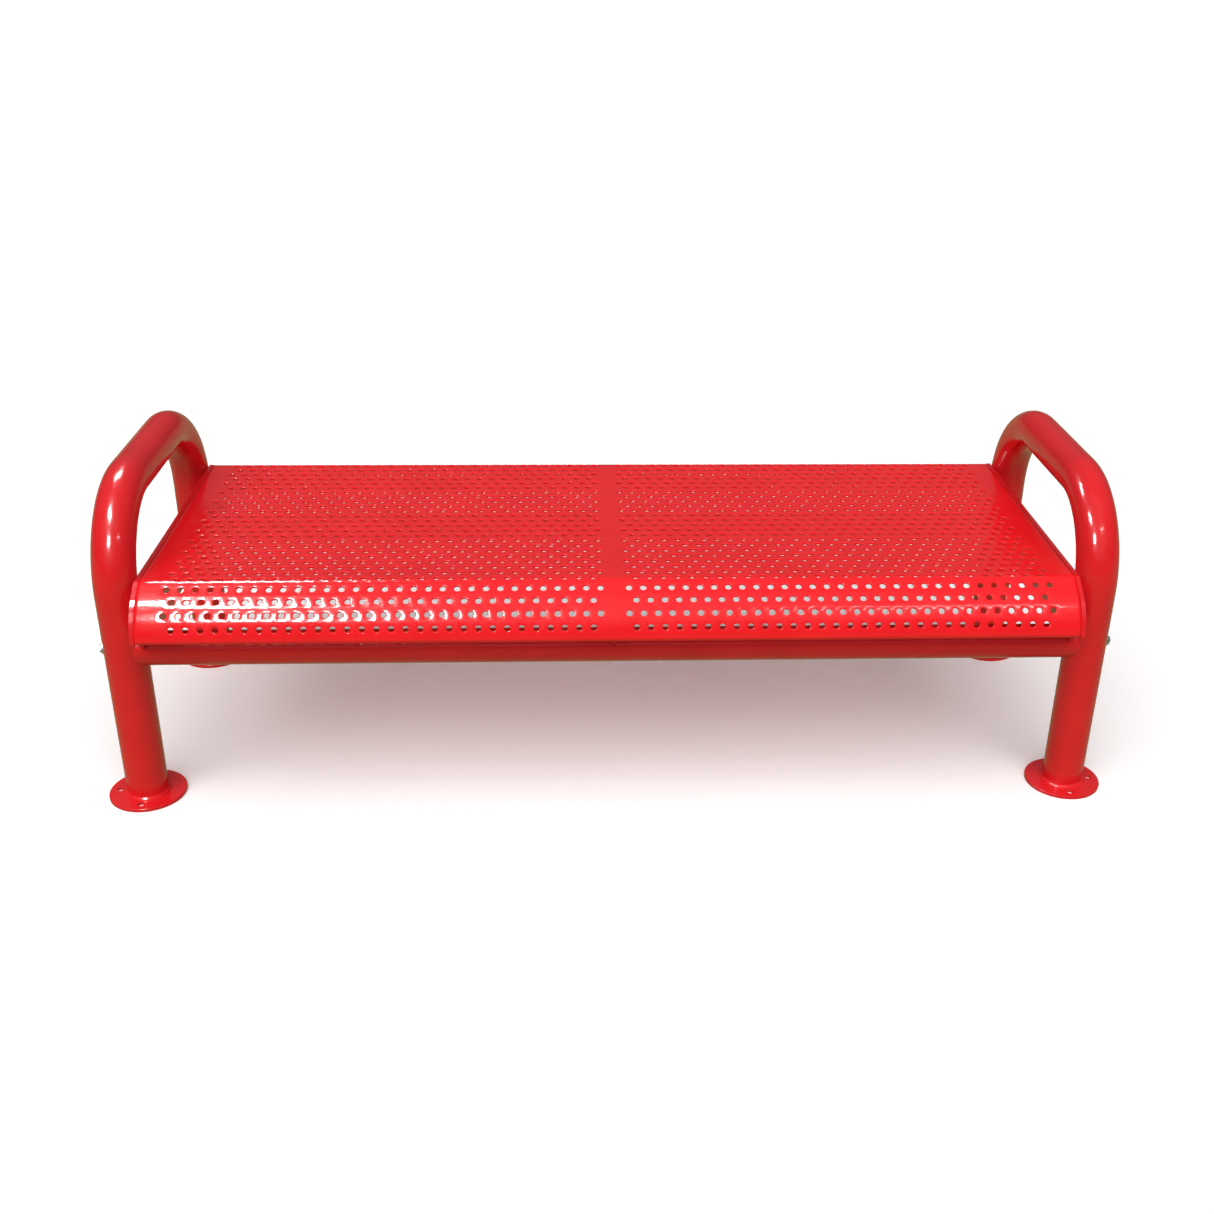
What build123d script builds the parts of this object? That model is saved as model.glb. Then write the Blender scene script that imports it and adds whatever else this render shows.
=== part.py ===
from build123d import *
import os
import math

os.makedirs("parts", exist_ok=True)

# Backless bench: two bent tube end frames, two tube rails and one perforated sheet seat.
# Millimetres, +Z up, +X along the bench, -Y is the front. Origin: centre of the footprint.

# ---- end frames -------------------------------------------------------------------------
FRAME_X = 884.0            # plane of each end frame
LEG_Y = 284.5              # leg axis, front and rear
TUBE_OD = 76.2             # 3 in tube
TUBE_WALL = 3.2
TOP_Z = 577.4              # axis of the top tube
BEND_R = 166.0             # centreline radius of both bends
FRAME_HOLE_R = 5.2         # clearance for the 3/8 in bolts

# ---- feet -------------------------------------------------------------------------------
FLANGE_R = 71.0
FLANGE_T = 6.0
ANCHOR_PCR = 52.5          # radius of the anchor hole circle
ANCHOR_R = 6.5
WELD_W = 5.5               # leg of the fillet weld around the tube

# ---- rails ------------------------------------------------------------------------------
RAIL_OD = 63.5             # 2.5 in tube
RAIL_WALL = 3.0
RAIL_Z = 308.0
PLUG_IN = 30.0             # plug's outer face, inward from the leg's inner tangent
PLUG_T = 20.0

# ---- bolts ------------------------------------------------------------------------------
BOLT_R = 4.75              # 3/8 in
HEAD_AF = 14.3
HEAD_H = 6.4
WASHER_R = 11.0
WASHER_T = 2.0

# ---- seat -------------------------------------------------------------------------------
SHEET_T = 4.5
SHEET_X = 838.2            # sheet runs from -SHEET_X to +SHEET_X
SEAT_FACE_Y = 371.0        # furthest out the front and rear curves come
SEAT_EDGE_Y = 296.0        # where the deck meets its front and rear creases
SEAT_EDGE_Z = 446.5        # top surface there
SEAT_DISH = 3.0            # how much lower the middle of the deck is
CREASE_R = 12.0            # tight bend at the crease
CREASE_END = 33.0          # degrees from level after it
RAMP = 31.0                # straight slope between the crease and the wide curve
ROLL_R = 95.0              # wide curve down to the lower edge
PITCH = 25.4
HOLE_R = 5.55
ROWS = 32
FLAT_HALF = 5.7            # each hole row sits on a flat this far either side of its centre
DECK_Y = 285.0             # rows inside this belong to the deck
FULL_ROW = 31              # holes each side of the centre band in a full row

# ---- end plates and rib -----------------------------------------------------------------
PLATE_X1 = FRAME_X - TUBE_OD / 2
PLATE_Z = 350.0
PLATE_PROUD = 0.5          # end plates stand this far outside the sheet
RIB_T = 6.0
SADDLE_W = 24.0            # how far the plates reach outside a rail's axis
SADDLE_Z = RAIL_Z + 6.0


def row_lines(depth):
    """Straight strips front to rear, one per hole row and a plain one at each end:
    (point, direction) at a given depth under the outside surface."""
    lines = []
    for index in range(-1, ROWS + 1):
        (y, z), (ny, nz) = row_place(PITCH * (index - (ROWS - 1) / 2))
        lines.append(((y - ny * depth, z - nz * depth), (nz, -ny)))
    return lines


def meet(line_a, line_b):
    """Where two strips' lines cross."""
    (ay, az), (uy, uz) = line_a
    (by, bz), (vy, vz) = line_b
    cross = uy * vz - uz * vy
    t = ((by - ay) * vz - (bz - az) * vy) / cross
    return (ay + uy * t, az + uz * t)


def corner(line_a, line_b, base_a, base_b):
    """The joint of two strips: a plain corner if nearly straight, otherwise a tangent arc."""
    p = meet(line_a, line_b)
    (uy, uz) = line_a[1]
    (vy, vz) = line_b[1]
    turn = math.acos(max(-1.0, min(1.0, uy * vy + uz * vz)))
    if turn < math.radians(2.0):
        return [p]
    q = meet(base_a, base_b)
    reach = min(math.dist(q, base_a[0]), math.dist(q, base_b[0]))
    run = reach - FLAT_HALF - math.dist(p, q) * math.sin(turn / 2)
    if run < 0.2:
        return [p]
    radius = run / math.tan(turn / 2)
    t1 = (p[0] - uy * run, p[1] - uz * run)
    t2 = (p[0] + vy * run, p[1] + vz * run)
    bis = (vy - uy, vz - uz)
    size = math.hypot(bis[0], bis[1])
    gap = math.hypot(run, radius) - radius
    mid = (p[0] + bis[0] / size * gap, p[1] + bis[1] / size * gap)
    return [t1, mid, t2]


def profile_edges(depth, dished=True):
    """Edges of the whole seat profile, front edge to rear edge, at a given depth."""
    lines = row_lines(depth)
    base = row_lines(0.0)
    at = (0.0, lines[0][0][0], lines[0][0][1])
    edges = []
    for i in range(len(lines) - 1):
        if not dished and abs(lines[i][0][0]) < DECK_Y and abs(lines[i + 1][0][0]) < DECK_Y:
            continue
        joint = corner(lines[i], lines[i + 1], base[i], base[i + 1])
        if not dished and abs(joint[0][0]) < DECK_Y:
            joint = [(joint[0][0], SEAT_EDGE_Z - depth)]
        pts = [(0.0, y, z) for y, z in joint]
        edges.append(Line(at, pts[0]))
        if len(pts) == 3:
            edges.append(ThreePointArc(pts[0], pts[1], pts[2]))
        at = pts[-1]
    edges.append(Line(at, (0.0, lines[-1][0][0], lines[-1][0][1])))
    return edges


def row_place(s):
    """Point and outward normal on the outside surface at arc length s from the middle."""
    side = 1.0 if s >= 0 else -1.0
    s = abs(s)
    e = math.radians(CREASE_END)
    sag_r = (SEAT_EDGE_Y ** 2 + SEAT_DISH ** 2) / (2 * SEAT_DISH)
    half = sag_r * math.asin(SEAT_EDGE_Y / sag_r)
    crease = CREASE_R * e
    if s <= half:
        t = -s / sag_r
        y = -sag_r * math.sin(t)
        z = SEAT_EDGE_Z - SEAT_DISH + sag_r * (1 - math.cos(t))
    elif s <= half + crease:
        t = (s - half) / CREASE_R
        y = SEAT_EDGE_Y + CREASE_R * math.sin(t)
        z = SEAT_EDGE_Z - CREASE_R * (1 - math.cos(t))
    else:
        t = e
        run = min(s - half - crease, RAMP)
        y = SEAT_EDGE_Y + CREASE_R * math.sin(e) + run * math.cos(e)
        z = SEAT_EDGE_Z - CREASE_R * (1 - math.cos(e)) - run * math.sin(e)
        if s > half + crease + RAMP:
            t = e + (s - half - crease - RAMP) / ROLL_R
            y += ROLL_R * (math.sin(t) - math.sin(e))
            z -= ROLL_R * (math.cos(e) - math.cos(t))
    return (side * y, z), (side * math.sin(t), math.cos(t))


def row_columns(index):
    """Hole positions along X. Rows alternate by half a pitch and skip the centre band."""
    if index % 2:
        half = [PITCH * i for i in range(1, FULL_ROW + 1)]
    else:
        half = [PITCH * (i + 0.5) for i in range(1, FULL_ROW)]
    return [-x for x in reversed(half)] + half


def make_hole(x, place, normal):
    (y, z) = place
    (ny, nz) = normal
    mid = (x, y - ny * SHEET_T / 2, z - nz * SHEET_T / 2)
    plane = Plane(origin=mid, x_dir=(1, 0, 0), z_dir=(0, ny, nz))
    return plane * Cylinder(HOLE_R, SHEET_T * 3)


def make_seat_panel():
    outer = profile_edges(0.0)
    inner = profile_edges(SHEET_T)
    front = Line(outer[0] @ 0, inner[0] @ 0)
    rear = Line(outer[-1] @ 1, inner[-1] @ 1)
    face = make_face(Wire(outer + inner + [front, rear]))
    sheet = extrude(face, amount=SHEET_X, dir=(1, 0, 0), both=True)
    holes = []
    for index in range(ROWS):
        place, normal = row_place(PITCH * (index - (ROWS - 1) / 2))
        for x in row_columns(index):
            holes.append(make_hole(x, place, normal))
    return sheet - holes


def rib_shape(edges, x0, x1):
    """A plate that fills a profile and sits over both rails."""
    first = edges[0] @ 0
    last = edges[-1] @ 1
    in_y = SEAT_FACE_Y - 30.0
    foot_y = LEG_Y + SADDLE_W
    pts = [(0.0, first.Y, first.Z)]
    pts.append((0.0, -in_y, PLATE_Z))
    pts.append((0.0, -foot_y, SADDLE_Z))
    pts.append((0.0, foot_y, SADDLE_Z))
    pts.append((0.0, in_y, PLATE_Z))
    pts.append((0.0, last.Y, last.Z))
    closing = [Line(a, b) for a, b in zip(pts[:-1], pts[1:])]
    face = make_face(Wire(list(edges) + closing))
    solid = extrude(face, amount=x1 - x0, dir=(1, 0, 0)).moved(Location((x0, 0, 0)))
    for side in (-1, 1):
        rail = Cylinder(RAIL_OD / 2, 400, rotation=(0, 90, 0))
        solid = solid - rail.moved(Location(((x0 + x1) / 2, side * LEG_Y, RAIL_Z)))
    return solid


def make_seat_end_plate(side):
    plate = rib_shape(profile_edges(-PLATE_PROUD, dished=False), SHEET_X, PLATE_X1)
    if side < 0:
        plate = plate.mirror(Plane.YZ)
    return plate


def make_centre_rib():
    return rib_shape(profile_edges(SHEET_T), -RIB_T / 2, RIB_T / 2)


def frame_path():
    top = LEG_Y - BEND_R
    drop = TOP_Z - BEND_R
    k = BEND_R * math.sin(math.pi / 4)
    path = []
    path.append(Line((0, -LEG_Y, FLANGE_T), (0, -LEG_Y, drop)))
    path.append(ThreePointArc((0, -LEG_Y, drop), (0, -top - k, drop + k), (0, -top, TOP_Z)))
    path.append(Line((0, -top, TOP_Z), (0, top, TOP_Z)))
    path.append(ThreePointArc((0, top, TOP_Z), (0, top + k, drop + k), (0, LEG_Y, drop)))
    path.append(Line((0, LEG_Y, drop), (0, LEG_Y, FLANGE_T)))
    return Wire(path)


def make_end_frame(side):
    path = frame_path()
    plane = Plane(origin=(0, -LEG_Y, FLANGE_T), z_dir=(0, 0, 1))
    outer = sweep(plane * Circle(TUBE_OD / 2), path=path)
    bore = sweep(plane * Circle(TUBE_OD / 2 - TUBE_WALL), path=path)
    tube = outer - bore
    for y in (-LEG_Y, LEG_Y):
        hole = Cylinder(FRAME_HOLE_R, TUBE_OD + 20, rotation=(0, 90, 0))
        tube = tube - hole.moved(Location((0, y, RAIL_Z)))
    return tube.moved(Location((side * FRAME_X, 0, 0)))


def make_flange(side, y):
    plate = Cylinder(FLANGE_R, FLANGE_T).moved(Location((0, 0, FLANGE_T / 2)))
    edge = plate.edges().filter_by(GeomType.CIRCLE).sort_by(Axis.Z)[-1]
    plate = fillet(edge, 1.2)
    spots = [(side * ANCHOR_PCR, 0), (0, -ANCHOR_PCR), (0, ANCHOR_PCR)]
    for hx, hy in spots:
        hole = Cylinder(ANCHOR_R, FLANGE_T * 4)
        plate = plate - hole.moved(Location((hx, hy, 0)))
    return plate.moved(Location((side * FRAME_X, y, 0)))


def make_weld(side, y):
    r = TUBE_OD / 2
    w = WELD_W
    k = 0.62
    p0 = (r, 0, FLANGE_T)
    p1 = (r + w, 0, FLANGE_T)
    p2 = (r, 0, FLANGE_T + w)
    bulge = (r + w * k, 0, FLANGE_T + w * k)
    face = make_face(Wire([Line(p0, p1), ThreePointArc(p1, bulge, p2), Line(p2, p0)]))
    bead = revolve(face, axis=Axis.Z, revolution_arc=360)
    return bead.moved(Location((side * FRAME_X, y, 0)))


def make_rail(y):
    outer = Cylinder(RAIL_OD / 2, 2 * FRAME_X, rotation=(0, 90, 0))
    bore = Cylinder(RAIL_OD / 2 - RAIL_WALL, 2 * FRAME_X + 20, rotation=(0, 90, 0))
    rail = (outer - bore).moved(Location((0, y, RAIL_Z)))
    for side in (-1, 1):
        leg = Cylinder(TUBE_OD / 2, 300)
        rail = rail - leg.moved(Location((side * FRAME_X, y, RAIL_Z)))
    return rail


def make_plug(side, y):
    x1 = PLATE_X1 - PLUG_IN
    plug = Cylinder(RAIL_OD / 2 - RAIL_WALL, PLUG_T, rotation=(0, 90, 0))
    plug = plug - Cylinder(BOLT_R, PLUG_T * 2, rotation=(0, 90, 0))
    return plug.moved(Location((side * (x1 - PLUG_T / 2), y, RAIL_Z)))


def make_washer(side, y):
    x1 = FRAME_X + TUBE_OD / 2 + WASHER_T
    disc = Cylinder(WASHER_R, 8, rotation=(0, 90, 0)).moved(Location((x1 - 4, 0, RAIL_Z)))
    disc = disc - Cylinder(TUBE_OD / 2, 100).moved(Location((FRAME_X, 0, RAIL_Z)))
    disc = disc - Cylinder(FRAME_HOLE_R, 60, rotation=(0, 90, 0)).moved(Location((x1, 0, RAIL_Z)))
    if side < 0:
        disc = disc.mirror(Plane.YZ)
    return disc.moved(Location((0, y, 0)))


def make_bolt(side, y):
    x1 = FRAME_X + TUBE_OD / 2 + WASHER_T
    plane = Plane(origin=(x1, 0, RAIL_Z), x_dir=(0, 1, 0), z_dir=(1, 0, 0))
    head = extrude(plane * RegularPolygon(HEAD_AF / 2, 6, major_radius=False), amount=HEAD_H)
    dome = Sphere(HEAD_AF * 0.86).moved(Location((x1 + HEAD_H - HEAD_AF * 0.86 + 0.3, 0, RAIL_Z)))
    head = head & dome
    tip = PLATE_X1 - PLUG_IN - PLUG_T - 3.0
    shank = Cylinder(BOLT_R, x1 + 1 - tip, rotation=(0, 90, 0))
    bolt = head + shank.moved(Location(((x1 + 1 + tip) / 2, 0, RAIL_Z)))
    if side < 0:
        bolt = bolt.mirror(Plane.YZ)
    return bolt.moved(Location((0, y, 0)))


def save(shape, name):
    export_step(shape, "parts/" + name + ".step")


save(make_seat_panel(), "seat_panel")
save(make_centre_rib(), "seat_centre_rib")
save(make_rail(-LEG_Y), "front_rail")
save(make_rail(LEG_Y), "rear_rail")
for side, hand in ((-1, "left"), (1, "right")):
    save(make_end_frame(side), "end_frame_" + hand)
    save(make_seat_end_plate(side), "seat_end_plate_" + hand)
    for y, end in ((-LEG_Y, "front"), (LEG_Y, "rear")):
        save(make_flange(side, y), "base_flange_" + end + "_" + hand)
        save(make_weld(side, y), "base_weld_" + end + "_" + hand)
        save(make_plug(side, y), "rail_plug_" + end + "_" + hand)
        save(make_washer(side, y), "frame_washer_" + end + "_" + hand)
        save(make_bolt(side, y), "frame_bolt_" + end + "_" + hand)
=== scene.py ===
import bpy
import bmesh
import math
from mathutils import Vector, Matrix


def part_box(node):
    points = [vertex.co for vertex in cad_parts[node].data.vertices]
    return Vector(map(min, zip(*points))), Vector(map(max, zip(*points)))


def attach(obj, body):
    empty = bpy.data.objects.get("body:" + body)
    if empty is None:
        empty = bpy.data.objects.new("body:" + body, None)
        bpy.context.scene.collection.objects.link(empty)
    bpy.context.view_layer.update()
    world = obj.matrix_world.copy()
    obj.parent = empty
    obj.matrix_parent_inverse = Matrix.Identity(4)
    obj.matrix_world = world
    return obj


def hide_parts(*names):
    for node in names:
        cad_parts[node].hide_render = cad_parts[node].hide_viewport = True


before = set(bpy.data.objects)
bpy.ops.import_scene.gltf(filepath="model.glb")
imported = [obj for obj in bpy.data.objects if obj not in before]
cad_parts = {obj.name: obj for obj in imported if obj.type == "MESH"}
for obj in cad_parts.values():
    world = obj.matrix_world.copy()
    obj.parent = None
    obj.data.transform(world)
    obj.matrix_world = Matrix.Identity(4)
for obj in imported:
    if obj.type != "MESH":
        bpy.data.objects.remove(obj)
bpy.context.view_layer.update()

# ---- sizes read from the frame ----------------------------------------------------------
panel_low, panel_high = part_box("seat_panel")
flange_low, flange_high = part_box("base_flange_front_right")
FRONT_LEG_Y = (flange_low[1] + flange_high[1]) / 2

# ---- sizes of the perforated sheet, in metres -------------------------------------------
SHEET = 0.0045
PITCH = 0.0254
HOLE_R = 0.00555
ROWS = 32
FULL_ROW = 31
LIP = 0.0013              # how far the soft edge of each hole reaches
END_REACH = 0.040         # width of the strip where the deck rises to the end plates
CREASE = 0.012
CREASE_END = math.radians(33.0)
RAMP = 0.031
ROLL = 0.095
DISH = 0.003
EDGE_Y = 0.296
EDGE_Z = 0.4465
HALF_X = panel_high[0]
SAG = (EDGE_Y * EDGE_Y + DISH * DISH) / (2 * DISH)
HALF = SAG * math.asin(EDGE_Y / SAG)
LEN_CREASE = CREASE * CREASE_END
LEN_HALF = PITCH * (ROWS + 1) / 2


def place(s):
    """Point and outward normal of the sheet's outside at arc length s from the middle."""
    side = 1.0 if s >= 0 else -1.0
    s = abs(s)
    e = CREASE_END
    if s <= HALF:
        t = -s / SAG
        y, z = -SAG * math.sin(t), EDGE_Z - DISH + SAG * (1 - math.cos(t))
    elif s <= HALF + LEN_CREASE:
        t = (s - HALF) / CREASE
        y, z = EDGE_Y + CREASE * math.sin(t), EDGE_Z - CREASE * (1 - math.cos(t))
    else:
        t = e
        run = min(s - HALF - LEN_CREASE, RAMP)
        y = EDGE_Y + CREASE * math.sin(e) + run * math.cos(e)
        z = EDGE_Z - CREASE * (1 - math.cos(e)) - run * math.sin(e)
        if s > HALF + LEN_CREASE + RAMP:
            t = e + (s - HALF - LEN_CREASE - RAMP) / ROLL
            y += ROLL * (math.sin(t) - math.sin(e))
            z -= ROLL * (math.cos(e) - math.cos(t))
    return (side * y, z), (side * math.sin(t), math.cos(t))


def end_lift(x, s):
    """Near its ends the deck rises out of the dish to meet the straight-topped end plates."""
    gap = HALF_X - abs(x)
    if gap >= END_REACH or abs(s) > HALF:
        return 0.0
    w = 1.0 - gap / END_REACH
    w = w * w * (3 - 2 * w)
    t = s / SAG
    low = DISH - SAG * (1 - math.cos(t))
    return w * max(0.0, low)


# ---- materials --------------------------------------------------------------------------
def new_material(name):
    mat = bpy.data.materials.new(name)
    mat.use_nodes = True
    tree = mat.node_tree
    bsdf = tree.nodes["Principled BSDF"]
    return mat, tree, bsdf


def node(tree, kind):
    return tree.nodes.new(kind)


def coat_material(name, base, deep, bump_scale, bump_strength):
    """Thick glossy coating: slight colour drift, orange peel, faint dust in the roughness."""
    mat, tree, bsdf = new_material(name)
    link = tree.links.new
    coord = node(tree, "ShaderNodeTexCoord")
    drift = node(tree, "ShaderNodeTexNoise")
    drift.inputs["Scale"].default_value = 9.0
    drift.inputs["Detail"].default_value = 4.0
    link(coord.outputs["Object"], drift.inputs["Vector"])
    ramp = node(tree, "ShaderNodeValToRGB")
    ramp.color_ramp.elements[0].position = 0.30
    ramp.color_ramp.elements[0].color = (*deep, 1)
    ramp.color_ramp.elements[1].position = 0.70
    ramp.color_ramp.elements[1].color = (*base, 1)
    link(drift.outputs["Fac"], ramp.inputs["Fac"])
    link(ramp.outputs["Color"], bsdf.inputs["Base Color"])
    dust = node(tree, "ShaderNodeTexNoise")
    dust.inputs["Scale"].default_value = 45.0
    dust.inputs["Detail"].default_value = 6.0
    link(coord.outputs["Object"], dust.inputs["Vector"])
    rough = node(tree, "ShaderNodeMapRange")
    rough.inputs["From Min"].default_value = 0.35
    rough.inputs["From Max"].default_value = 0.75
    rough.inputs["To Min"].default_value = 0.16
    rough.inputs["To Max"].default_value = 0.26
    link(dust.outputs["Fac"], rough.inputs["Value"])
    link(rough.outputs["Result"], bsdf.inputs["Roughness"])
    peel = node(tree, "ShaderNodeTexNoise")
    peel.inputs["Scale"].default_value = bump_scale
    peel.inputs["Detail"].default_value = 2.0
    link(coord.outputs["Object"], peel.inputs["Vector"])
    bump = node(tree, "ShaderNodeBump")
    bump.inputs["Strength"].default_value = bump_strength
    bump.inputs["Distance"].default_value = 0.0006
    link(peel.outputs["Fac"], bump.inputs["Height"])
    wave = node(tree, "ShaderNodeTexNoise")
    wave.inputs["Scale"].default_value = 14.0
    wave.inputs["Detail"].default_value = 1.0
    link(coord.outputs["Object"], wave.inputs["Vector"])
    swell = node(tree, "ShaderNodeBump")
    swell.inputs["Strength"].default_value = 0.30
    swell.inputs["Distance"].default_value = 0.004
    link(wave.outputs["Fac"], swell.inputs["Height"])
    link(swell.outputs["Normal"], bump.inputs["Normal"])
    link(bump.outputs["Normal"], bsdf.inputs["Normal"])
    bsdf.inputs["Specular IOR Level"].default_value = 0.25
    bsdf.inputs["Coat Weight"].default_value = 0.6
    bsdf.inputs["Coat Roughness"].default_value = 0.06
    return mat


def zinc_material():
    """Bright zinc plating: fine brushed scratches and a little tarnish."""
    mat, tree, bsdf = new_material("zinc_plate")
    link = tree.links.new
    coord = node(tree, "ShaderNodeTexCoord")
    stretch = node(tree, "ShaderNodeMapping")
    stretch.inputs["Scale"].default_value = (40.0, 900.0, 900.0)
    link(coord.outputs["Object"], stretch.inputs["Vector"])
    noise = node(tree, "ShaderNodeTexNoise")
    noise.inputs["Scale"].default_value = 1.0
    noise.inputs["Detail"].default_value = 5.0
    link(stretch.outputs["Vector"], noise.inputs["Vector"])
    ramp = node(tree, "ShaderNodeValToRGB")
    ramp.color_ramp.elements[0].color = (0.50, 0.51, 0.53, 1)
    ramp.color_ramp.elements[1].color = (0.78, 0.79, 0.80, 1)
    link(noise.outputs["Fac"], ramp.inputs["Fac"])
    link(ramp.outputs["Color"], bsdf.inputs["Base Color"])
    rough = node(tree, "ShaderNodeMapRange")
    rough.inputs["To Min"].default_value = 0.22
    rough.inputs["To Max"].default_value = 0.42
    link(noise.outputs["Fac"], rough.inputs["Value"])
    link(rough.outputs["Result"], bsdf.inputs["Roughness"])
    bump = node(tree, "ShaderNodeBump")
    bump.inputs["Strength"].default_value = 0.15
    bump.inputs["Distance"].default_value = 0.0002
    link(noise.outputs["Fac"], bump.inputs["Height"])
    link(bump.outputs["Normal"], bsdf.inputs["Normal"])
    bsdf.inputs["Metallic"].default_value = 1.0
    return mat


RED = (0.76, 0.014, 0.020)
RED_DEEP = (0.70, 0.011, 0.016)
SEAT_RED_PAINTED_LIGHT = (0.92, 0.011, 0.018)      # the seat's red is painted brighter than the frame's: painted light, standing in for more light on the seat
SEAT_RED_DEEP_PAINTED_LIGHT = (0.86, 0.009, 0.015)
coat_frame = coat_material("red_coat_frame", RED, RED_DEEP, 260.0, 0.25)
# Seat coating: the frame's paint with brighter reds, as painted light on the seat
coat_seat_painted_light = coat_material("red_coat_seat_painted_light", SEAT_RED_PAINTED_LIGHT, SEAT_RED_DEEP_PAINTED_LIGHT, 170.0, 0.35)
zinc = zinc_material()


def paint(obj, mat):
    if not obj.material_slots:
        obj.data.materials.append(mat)
    for slot in obj.material_slots:
        slot.material = mat


for name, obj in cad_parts.items():
    if name.startswith(("frame_bolt", "frame_washer", "rail_plug")):
        paint(obj, zinc)
    else:
        paint(obj, coat_frame)


# ---- meshes -----------------------------------------------------------------------------
def to_object(name, verts, faces, mat, smooth=True):
    mesh = bpy.data.meshes.new(name)
    mesh.from_pydata(verts, [], faces)
    mesh.validate()
    mesh.update()
    obj = bpy.data.objects.new(name, mesh)
    bpy.context.collection.objects.link(obj)
    mesh.materials.append(mat)
    if smooth:
        mesh.polygons.foreach_set("use_smooth", [True] * len(mesh.polygons))
    return obj


def row_columns(index):
    if index % 2:
        half = [PITCH * i for i in range(1, FULL_ROW + 1)]
    else:
        half = [PITCH * (i + 0.5) for i in range(1, FULL_ROW)]
    return [-x for x in reversed(half)] + half


def build_seat():
    """The perforated sheet as one closed mesh, each hole with a soft coated lip."""
    lip = LIP
    rings = [(HOLE_R + lip, 0.0), (HOLE_R + lip * 0.45, lip * 0.16), (HOLE_R + lip * 0.12, lip * 0.5),
             (HOLE_R, lip), (HOLE_R, SHEET - lip), (HOLE_R + lip * 0.12, SHEET - lip * 0.5),
             (HOLE_R + lip * 0.45, SHEET - lip * 0.16), (HOLE_R + lip, SHEET)]
    verts = []
    faces = []
    grid = {}

    def point(x, s, depth):
        (y, z), (ny, nz) = place(s)
        return (x, y - ny * depth, z - nz * depth + end_lift(x, s))

    def add(x, s, depth):
        key = (round(x * 1e6), round(s * 1e6), round(depth * 1e6))
        if key not in grid:
            grid[key] = len(verts)
            verts.append(point(x, s, depth))
        return grid[key]

    row_s = [PITCH * (i - (ROWS - 1) / 2) for i in range(ROWS)]
    half = PITCH / 2
    # cell borders run half-way between rows; x cuts every quarter pitch keep both row kinds aligned
    for index, s in enumerate(row_s):
        s0, s1 = s - half, s + half
        holes = row_columns(index)
        for x in holes:
            build_cell(add, faces, x, s, half, rings)
        fill_row(add, faces, holes, s0, s1)
    fill_skirts(add, faces, row_s[0] - half, -LEN_HALF)
    fill_skirts(add, faces, row_s[-1] + half, LEN_HALF)
    return to_object("seat_sheet", verts, faces, coat_seat_painted_light)


def border_points(x, s, half):
    """Points round a square cell, every quarter pitch, starting at the -X side's middle."""
    q = half / 2
    out = []
    for i in range(4):
        out.append((x - half, s - half + i * q))
    for i in range(4):
        out.append((x - half + i * q, s + half))
    for i in range(4):
        out.append((x + half, s + half - i * q))
    for i in range(4):
        out.append((x + half - i * q, s - half))
    return out


def build_cell(add, faces, x, s, half, rings):
    border = border_points(x, s, half)
    count = len(border)
    layers = []
    layers.append([add(px, ps, 0.0) for px, ps in border])
    for r, depth in rings:
        ring = []
        for px, ps in border:
            a = math.atan2(ps - s, px - x)
            ring.append(add(x + r * math.cos(a), s + r * math.sin(a), depth))
        layers.append(ring)
    layers.append([add(px, ps, SHEET) for px, ps in border])
    for a, b in zip(layers[:-1], layers[1:]):
        for i in range(count):
            j = (i + 1) % count
            faces.append((a[i], a[j], b[j], b[i]))


def strip(add, faces, xs, ss):
    """Plain sheet, both skins, over a grid of x and s."""
    for i in range(len(xs) - 1):
        for j in range(len(ss) - 1):
            top = [add(xs[i], ss[j], 0.0), add(xs[i + 1], ss[j], 0.0),
                   add(xs[i + 1], ss[j + 1], 0.0), add(xs[i], ss[j + 1], 0.0)]
            low = [add(xs[i], ss[j], SHEET), add(xs[i], ss[j + 1], SHEET),
                   add(xs[i + 1], ss[j + 1], SHEET), add(xs[i + 1], ss[j], SHEET)]
            faces.append(tuple(top))
            faces.append(tuple(low))


def quarter_steps(a, b):
    n = max(1, int(round((b - a) / (PITCH / 4))))
    return [a + (b - a) * i / n for i in range(n + 1)]


def end_steps(a):
    return quarter_steps(a, HALF_X)


def close_ends(add, faces, ss):
    """The sheet's thickness at its left and right ends."""
    for x in (-HALF_X, HALF_X):
        for j in range(len(ss) - 1):
            quad = [add(x, ss[j], 0.0), add(x, ss[j + 1], 0.0),
                    add(x, ss[j + 1], SHEET), add(x, ss[j], SHEET)]
            faces.append(tuple(quad if x > 0 else reversed(quad)))


def fill_row(add, faces, holes, s0, s1):
    ss = quarter_steps(s0, s1)
    inner = min(x for x in holes if x > 0) - PITCH / 2
    outer = max(holes) + PITCH / 2
    strip(add, faces, quarter_steps(-inner, inner), ss)
    right = end_steps(outer)
    strip(add, faces, right, ss)
    strip(add, faces, [-x for x in reversed(right)], ss)
    close_ends(add, faces, ss)


def fill_skirts(add, faces, s_from, s_to):
    a, b = sorted((s_from, s_to))
    ss = quarter_steps(a, b)
    full = PITCH * (FULL_ROW + 0.5)
    right = end_steps(full)
    xs = [-x for x in reversed(right)][:-1] + quarter_steps(-full, full) + right[1:]
    strip(add, faces, xs, ss)
    close_ends(add, faces, ss)
    for i in range(len(xs) - 1):
        quad = [add(xs[i], s_to, 0.0), add(xs[i], s_to, SHEET),
                add(xs[i + 1], s_to, SHEET), add(xs[i + 1], s_to, 0.0)]
        faces.append(tuple(quad if s_to > 0 else reversed(quad)))


seat = build_seat()
bm = bmesh.new()
bm.from_mesh(seat.data)
bmesh.ops.remove_doubles(bm, verts=bm.verts, dist=0.00001)
bmesh.ops.recalc_face_normals(bm, faces=bm.faces)
bm.to_mesh(seat.data)
bm.free()
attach(seat, "root")
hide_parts("seat_panel")

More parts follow.
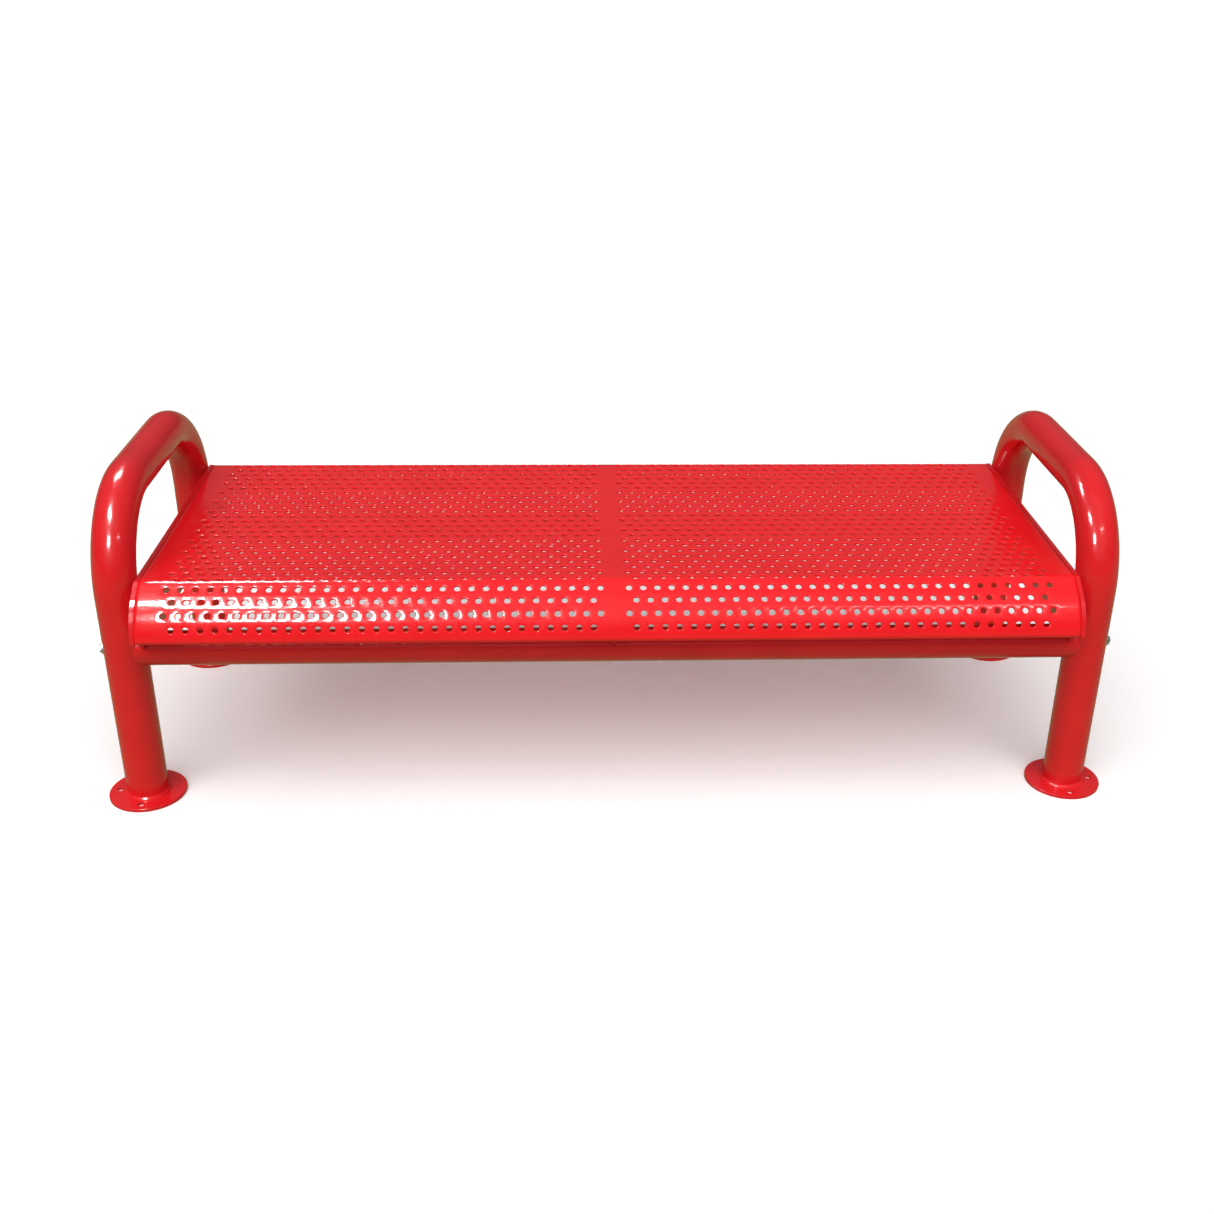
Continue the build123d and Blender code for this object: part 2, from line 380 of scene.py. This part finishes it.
# ---- floor, light, camera ---------------------------------------------------------------
def build_floor():
    mat, tree, bsdf = new_material("studio_floor")
    bsdf.inputs["Base Color"].default_value = (0.98, 0.98, 0.98, 1)
    bsdf.inputs["Emission Color"].default_value = (1.0, 1.0, 1.0, 1)
    bsdf.inputs["Emission Strength"].default_value = 0.10
    bsdf.inputs["Roughness"].default_value = 0.9
    bsdf.inputs["Specular IOR Level"].default_value = 0.1
    size = 80.0
    verts = [(-size, -size, 0), (size, -size, 0), (size, size, 0), (-size, size, 0)]
    verts = [(x, y, -0.0005) for x, y, z in verts]
    floor = to_object("studio_floor", verts, [(0, 1, 2, 3)], mat, False)
    floor.visible_diffuse = False
    floor.visible_glossy = False
    return floor


def build_backdrop():
    """A plain pale wall all round, seen by the camera only, so it changes no light or reflection."""
    mat, tree, bsdf = new_material("studio_wall")
    bsdf.inputs["Base Color"].default_value = (0.0, 0.0, 0.0, 1)
    bsdf.inputs["Specular IOR Level"].default_value = 0.0
    bsdf.inputs["Emission Color"].default_value = (1.0, 1.0, 1.0, 1)
    bsdf.inputs["Emission Strength"].default_value = 1.0
    count, radius, height = 64, 60.0, 60.0
    verts = []
    for z in (-1.0, height):
        for i in range(count):
            a = 2 * math.pi * i / count
            verts.append((radius * math.cos(a), radius * math.sin(a), z))
    faces = [(i, (i + 1) % count, count + (i + 1) % count, count + i) for i in range(count)]
    wall = to_object("studio_wall", verts, faces, mat, False)
    wall.visible_diffuse = False
    wall.visible_glossy = False
    wall.visible_transmission = False
    wall.visible_shadow = False


def area_light(name, location, target, size, size_y, power):
    data = bpy.data.lights.new(name, "AREA")
    data.shape = "RECTANGLE"
    data.size = size
    data.size_y = size_y
    data.energy = power
    obj = bpy.data.objects.new(name, data)
    bpy.context.collection.objects.link(obj)
    obj.location = location
    direction = Vector(target) - Vector(location)
    obj.rotation_euler = direction.to_track_quat("-Z", "Y").to_euler()
    return obj


def strip_light(name, location, target, length, width, radiance):
    """Long narrow lamp: mostly there for its streak in the glossy coating."""
    lamp = area_light(name, location, target, length, width, radiance * math.pi * length * width)
    lamp.visible_diffuse = False
    return lamp


def build_sun():
    data = bpy.data.lights.new("sky_soft", "SUN")
    data.energy = 3.15
    data.angle = math.radians(70.0)
    obj = bpy.data.objects.new("sky_soft", data)
    obj.visible_glossy = False
    bpy.context.collection.objects.link(obj)
    obj.rotation_euler = Vector((0.15, 0.75, -1.0)).to_track_quat("-Z", "Y").to_euler()


def build_world():
    """Neutral above, warmer below the horizon, for the shaded undersides."""
    world = bpy.data.worlds.new("studio_world")
    bpy.context.scene.world = world
    world.use_nodes = True
    tree = world.node_tree
    back = tree.nodes["Background"]
    coord = tree.nodes.new("ShaderNodeTexCoord")
    split = tree.nodes.new("ShaderNodeSeparateXYZ")
    height = tree.nodes.new("ShaderNodeMapRange")
    height.inputs["From Min"].default_value = -1.0
    height.inputs["From Max"].default_value = 1.0
    ramp = tree.nodes.new("ShaderNodeValToRGB")
    stops = [
        (0.0, (0.32, 0.34, 0.18)),
        (0.46, (0.30, 0.26, 0.16)),
        (0.56, (0.09, 0.085, 0.08)),
        (1.0, (0.30, 0.30, 0.30)),
    ]
    ramp.color_ramp.elements[0].position = stops[0][0]
    ramp.color_ramp.elements[0].color = (*stops[0][1], 1)
    ramp.color_ramp.elements[1].position = stops[3][0]
    ramp.color_ramp.elements[1].color = (*stops[3][1], 1)
    for position, color in stops[1:3]:
        ramp.color_ramp.elements.new(position).color = (*color, 1)
    tree.links.new(coord.outputs["Generated"], split.inputs["Vector"])
    tree.links.new(split.outputs["Z"], height.inputs["Value"])
    tree.links.new(height.outputs["Result"], ramp.inputs["Fac"])
    tree.links.new(ramp.outputs["Color"], back.inputs["Color"])
    back.inputs["Strength"].default_value = 1.0


LENS_MM = 41.67
SHIFT = (-0.02559, 0.01534)
AIM_DEG = (3.194, 26.401, -0.9895)           # yaw, pitch down, roll
CAMERA_X = -0.0839
CAMERA_BEFORE_LEGS = 2.3013                  # in front of the front legs' axes
CAMERA_Z = 1.4894


def build_camera():
    """Camera from the bench's own frame: place, aim and lens."""
    data = bpy.data.cameras.new("camera")
    data.sensor_fit = "HORIZONTAL"
    data.sensor_width = 36.0
    data.lens = LENS_MM
    data.shift_x = SHIFT[0]
    data.shift_y = SHIFT[1]
    data.clip_end = 100.0
    obj = bpy.data.objects.new("camera", data)
    bpy.context.collection.objects.link(obj)
    yaw, pitch, roll = (math.radians(a) for a in AIM_DEG)
    level = math.cos(pitch)
    forward = Vector((math.sin(yaw) * level, math.cos(yaw) * level, -math.sin(pitch)))
    right = Vector((math.cos(yaw), -math.sin(yaw), 0.0))
    down = forward.cross(right)
    r2 = right * math.cos(roll) + down * math.sin(roll)
    d2 = -right * math.sin(roll) + down * math.cos(roll)
    basis = Matrix((r2, -d2, -forward)).transposed()
    spot = (CAMERA_X, FRONT_LEG_Y - CAMERA_BEFORE_LEGS, CAMERA_Z)
    obj.matrix_world = Matrix.Translation(spot) @ basis.to_4x4()
    bpy.context.scene.camera = obj


build_world()
build_floor()
build_backdrop()
build_sun()
SEAT_FRONT = (-0.6, -0.34, 0.42)
strip_light("streak_back", (-1.30, 0.9, 2.6), SEAT_FRONT, 0.72, 0.30, 75)
strip_light("streak_mid", (-1.30, -1.0, 2.6), SEAT_FRONT, 0.72, 0.40, 75)
strip_light("streak_front", (-1.30, -2.7, 2.6), SEAT_FRONT, 0.72, 0.60, 60)
strip_light("streak_right", (1.25, -1.9, 2.4), (0.85, -0.2, 0.55), 0.9, 0.06, 30)
build_camera()

bpy.context.scene.view_settings.view_transform = "Standard"
